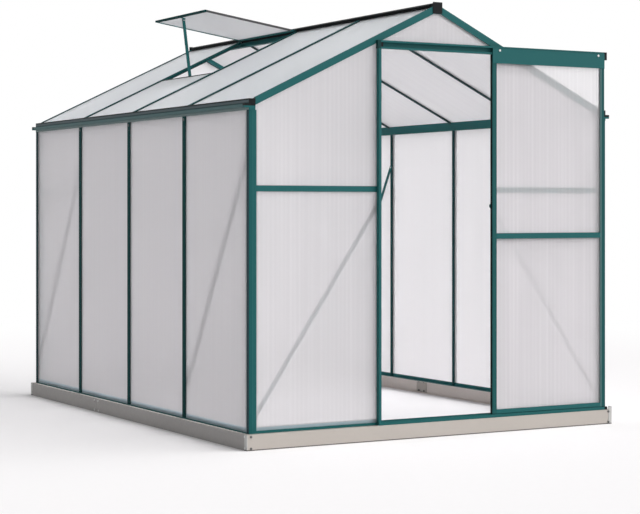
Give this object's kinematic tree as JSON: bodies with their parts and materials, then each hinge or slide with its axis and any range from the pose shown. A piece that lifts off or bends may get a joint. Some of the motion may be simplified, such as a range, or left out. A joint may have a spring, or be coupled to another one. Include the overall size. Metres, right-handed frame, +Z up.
{
  "type": "garden greenhouse",
  "caption": "Walk-in garden greenhouse: green aluminium frame on a low steel base, translucent twin-wall panes, a sliding door hung from a top track and a propped roof vent.",
  "frame": {"origin": "on the ground at the middle of the base, centred between the four anchor holes", "axes": "+X to the right seen from the door end, +Y from the door end to the back, +Z up"},
  "size_m": [1.906, 2.5365, 1.9661],
  "materials": {
    "green_aluminium": "satin",
    "black_aluminium": "satin",
    "galvanised_steel": "satin",
    "twin_wall_sheet": "satin",
    "black_plastic": "matte",
    "black_rubber": "matte",
    "zinc_fasteners": "satin"
  },
  "bodies": {
    "frame": {"base_front_rail": "galvanised_steel", "base_back_rail": "galvanised_steel", "base_side_rails": "galvanised_steel", "base_corner_brackets": "galvanised_steel", "base_splice_plates": "galvanised_steel", "base_bolts": "zinc_fasteners", "front_sill": "green_aluminium", "back_sill": "green_aluminium", "side_sills": "green_aluminium", "front_corner_posts": "green_aluminium", "back_corner_posts": "green_aluminium", "left_studs": "green_aluminium", "right_studs": "green_aluminium", "left_eave_gutter": "green_aluminium", "right_eave_gutter": "green_aluminium", "gutter_end_caps": "black_plastic", "gable_rafters": "green_aluminium", "left_rafters": "green_aluminium", "right_rafters": "green_aluminium", "ridge_beam": "black_aluminium", "ridge_end_caps": "black_plastic", "door_posts": "green_aluminium", "front_mid_rails": "green_aluminium", "door_header": "green_aluminium", "back_posts": "green_aluminium", "back_mid_rails": "green_aluminium", "wall_braces": "green_aluminium", "brace_bolts": "zinc_fasteners", "left_wall_panes": "twin_wall_sheet", "right_wall_panes": "twin_wall_sheet", "left_roof_panes": "twin_wall_sheet", "right_roof_panes": "twin_wall_sheet", "front_panes": "twin_wall_sheet", "back_panes": "twin_wall_sheet", "wall_seals": "black_rubber", "roof_seals": "black_rubber", "door_track": "green_aluminium", "door_rail_end_caps": "black_plastic", "track_stops": "black_plastic", "door_guide": "green_aluminium", "door_jamb": "green_aluminium", "vent_sill_bar": "green_aluminium", "stay_catch": "galvanised_steel"},
    "door": {"door_stiles": "green_aluminium", "door_top_rail": "green_aluminium", "door_top_plate": "green_aluminium", "door_mid_rail": "green_aluminium", "door_bottom_rail": "green_aluminium", "door_panes": "twin_wall_sheet", "door_edge_seal": "black_rubber", "roller_axles": "zinc_fasteners"},
    "left_roller": {"left_roller": "black_plastic"},
    "right_roller": {"right_roller": "black_plastic"},
    "vent": {"vent_hinge_rail": "green_aluminium", "vent_side_rails": "green_aluminium", "vent_outer_rail": "green_aluminium", "vent_pane": "twin_wall_sheet", "stay_bracket": "galvanised_steel", "stay_pin": "zinc_fasteners"},
    "stay": {"vent_stay": "green_aluminium"}
  },
  "joints": [
    {"name": "door_slide", "type": "slide", "parent": "frame", "child": "door", "axis": [-1, 0, 0], "range_m": [0, 0.5785]},
    {"name": "left_roller_spin", "type": "hinge", "parent": "door", "child": "left_roller", "pos_m": [0.318, -1.2515, 1.70446], "axis": [0, -1, 0], "range_deg": [0, 2112.2]},
    {"name": "right_roller_spin", "type": "hinge", "parent": "door", "child": "right_roller", "pos_m": [0.873, -1.2515, 1.70446], "axis": [0, -1, 0], "range_deg": [0, 2112.2]},
    {"name": "vent_hinge", "type": "hinge", "parent": "frame", "child": "vent", "pos_m": [-0.02, 0.307, 1.88887], "axis": [0, -1, 0], "range_deg": [0, 34.3]},
    {"name": "stay_pivot", "type": "hinge", "parent": "vent", "child": "stay", "pos_m": [-0.49938, 0.307, 1.94241], "axis": [0, -1, 0], "range_deg": [0, 74.9]}
  ],
  "couplings": [
    {"joint": "left_roller_spin", "follows": "door_slide", "rad_per_m": 63.694},
    {"joint": "right_roller_spin", "follows": "door_slide", "rad_per_m": 63.694},
    {"joint": "stay_pivot", "follows": "vent_hinge", "ratio": 2.168}
  ]
}
